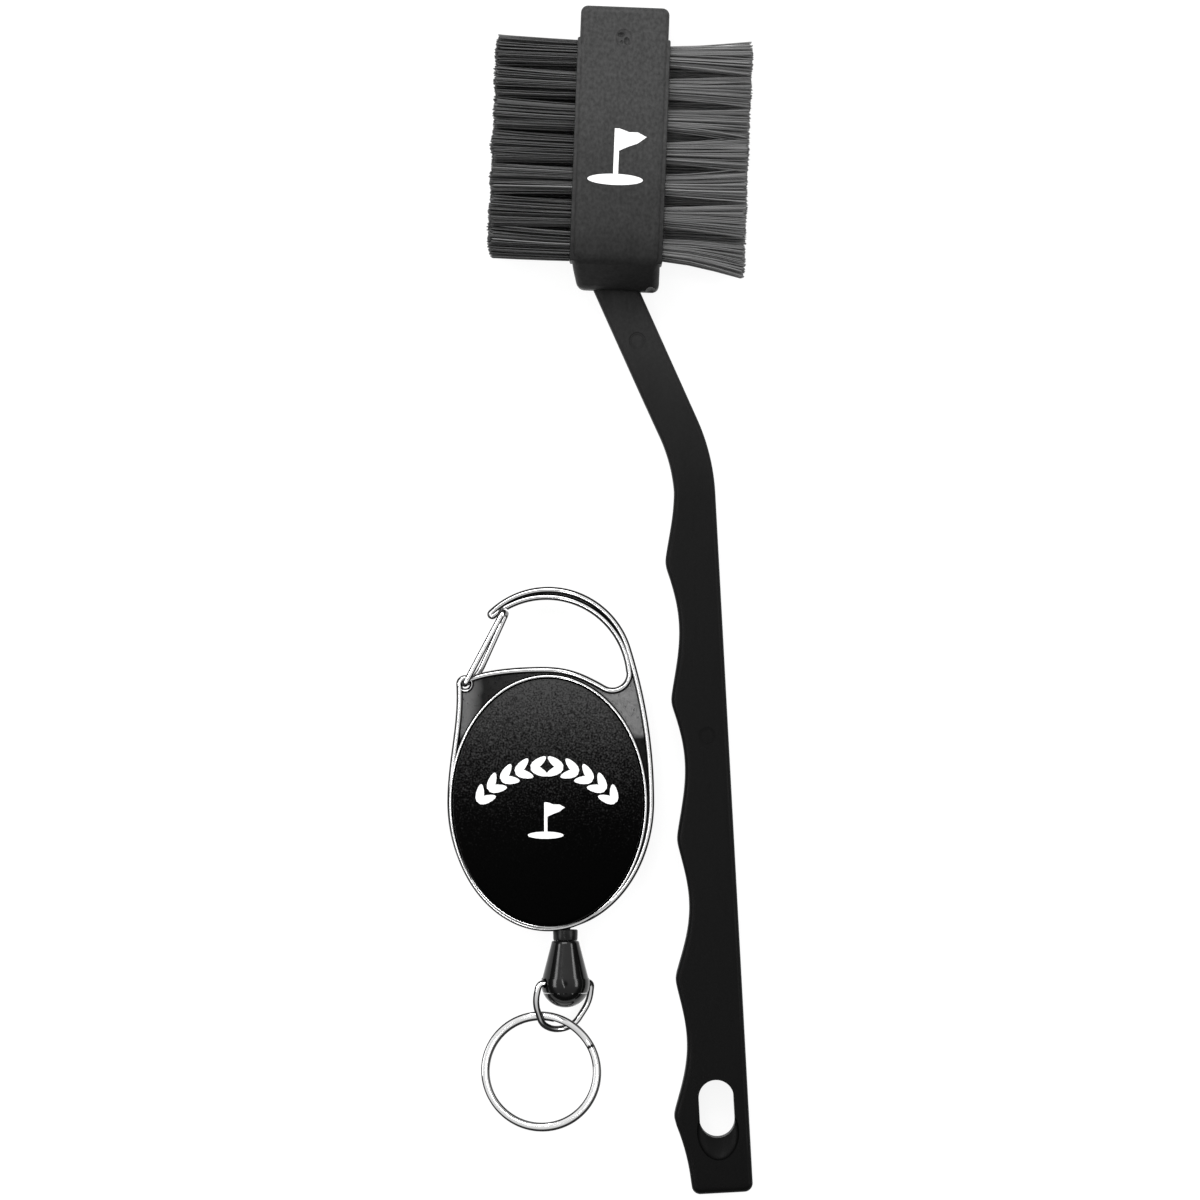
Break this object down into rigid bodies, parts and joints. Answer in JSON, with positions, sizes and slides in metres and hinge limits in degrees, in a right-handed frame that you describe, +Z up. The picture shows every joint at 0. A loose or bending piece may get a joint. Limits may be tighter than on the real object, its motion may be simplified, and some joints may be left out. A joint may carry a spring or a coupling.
{
  "type": "golf club groove brush with retractable reel",
  "caption": "Flat two-sided groove brush with a cranked finger-grip handle, lying beside its clip-on retractable reel with a wire gate, bell swivel and split ring.",
  "frame": {"origin": "middle of the footprint of the brush and the reel together, on the surface they lie on", "axes": "+Z up from that surface, +Y from the handle's tail towards the brush head, +X to the right with the brush on the right of the reel"},
  "size_m": [0.0566, 0.2192, 0.016],
  "materials": {
    "moulded_black": "semi-matte moulded polypropylene",
    "black_bristle": "stiff black nylon filament",
    "grey_bristle": "dark grey nylon filament",
    "chrome_casting": "bright chrome on a zinc die casting",
    "chrome_wire": "bright nickel on steel wire",
    "cover_black": "fine spark-textured black plastic",
    "gloss_black": "glossy black plastic",
    "white_acetal": "natural acetal",
    "spring_steel": "blued spring strip",
    "black_cord": "braided nylon cord"
  },
  "bodies": {
    "brush": {"brush_handle": "moulded_black", "black_tuft_01": "black_bristle", "black_tuft_02": "black_bristle", "black_tuft_03": "black_bristle", "black_tuft_04": "black_bristle", "black_tuft_05": "black_bristle", "black_tuft_06": "black_bristle", "black_tuft_07": "black_bristle", "black_tuft_08": "black_bristle", "black_tuft_09": "black_bristle", "black_tuft_10": "black_bristle", "black_tuft_11": "black_bristle", "black_tuft_12": "black_bristle", "black_tuft_13": "black_bristle", "black_tuft_14": "black_bristle", "black_tuft_15": "black_bristle", "black_tuft_16": "black_bristle", "black_tuft_17": "black_bristle", "black_tuft_18": "black_bristle", "black_tuft_19": "black_bristle", "black_tuft_20": "black_bristle", "grey_tuft_01": "grey_bristle", "grey_tuft_02": "grey_bristle", "grey_tuft_03": "grey_bristle", "grey_tuft_04": "grey_bristle", "grey_tuft_05": "grey_bristle", "grey_tuft_06": "grey_bristle", "grey_tuft_07": "grey_bristle", "grey_tuft_08": "grey_bristle", "grey_tuft_09": "grey_bristle", "grey_tuft_10": "grey_bristle", "grey_tuft_11": "grey_bristle", "grey_tuft_12": "grey_bristle", "grey_tuft_13": "grey_bristle", "grey_tuft_14": "grey_bristle", "grey_tuft_15": "grey_bristle", "grey_tuft_16": "grey_bristle", "grey_tuft_17": "grey_bristle", "grey_tuft_18": "grey_bristle", "grey_tuft_19": "grey_bristle", "grey_tuft_20": "grey_bristle"},
    "reel_case": {"carabiner_frame": "chrome_casting", "front_cover": "cover_black", "rear_cover": "cover_black", "cord_outlet_bush": "gloss_black"},
    "gate": {"gate_wire": "chrome_wire"},
    "spool": {"spool": "white_acetal", "cord_winding": "black_cord", "power_spring": "spring_steel"},
    "cord_end": {"cord_lead": "black_cord", "cord_knot": "black_cord"},
    "bell": {"bell_shell": "gloss_black", "bell_end_cap": "gloss_black"},
    "bail": {"bail_wire": "chrome_wire"},
    "ring": {"split_ring": "chrome_wire"}
  },
  "joints": [
    {"name": "reel_lift", "type": "slide", "parent": "brush", "child": "reel_case", "axis": [0, 0, 1], "range_m": [0, 0.06]},
    {"name": "gate_open", "type": "hinge", "parent": "reel_case", "child": "gate", "pos_m": [-0.02496, -0.01522, 0.0049], "axis": [0, 0, 1], "range_deg": [-38, 0], "stiffness_Nm_per_rad": 0.01, "springref_deg": 20.05},
    {"name": "cord_pull", "type": "slide", "parent": "reel_case", "child": "cord_end", "axis": [0, -1, 0], "range_m": [0, 0.6], "stiffness_N_per_m": 2, "springref_m": -0.3, "deforming": ["cord_lead"]},
    {"name": "spool_turn", "type": "hinge", "parent": "reel_case", "child": "spool", "pos_m": [-0.00971, -0.03562, 0.0049], "axis": [0, 0, 1], "range_deg": [-3200, 0], "deforming": ["power_spring"]},
    {"name": "bell_swivel", "type": "hinge", "parent": "cord_end", "child": "bell", "pos_m": [-0.00641, -0.06272, 0.0049], "axis": [0, 1, 0], "continuous": true},
    {"name": "bail_swing", "type": "hinge", "parent": "bell", "child": "bail", "pos_m": [-0.00641, -0.07052, 0.0049], "axis": [-0.866, 0, 0.5], "range_deg": [-100, 100]},
    {"name": "ring_turn", "type": "hinge", "parent": "bail", "child": "ring", "pos_m": [-0.01091, -0.08712, 0.00227], "axis": [-0.0868, -0.0872, 0.9924], "continuous": true}
  ],
  "couplings": [
    {"joint": "spool_turn", "follows": "cord_pull", "rad_per_m": -91.7}
  ]
}
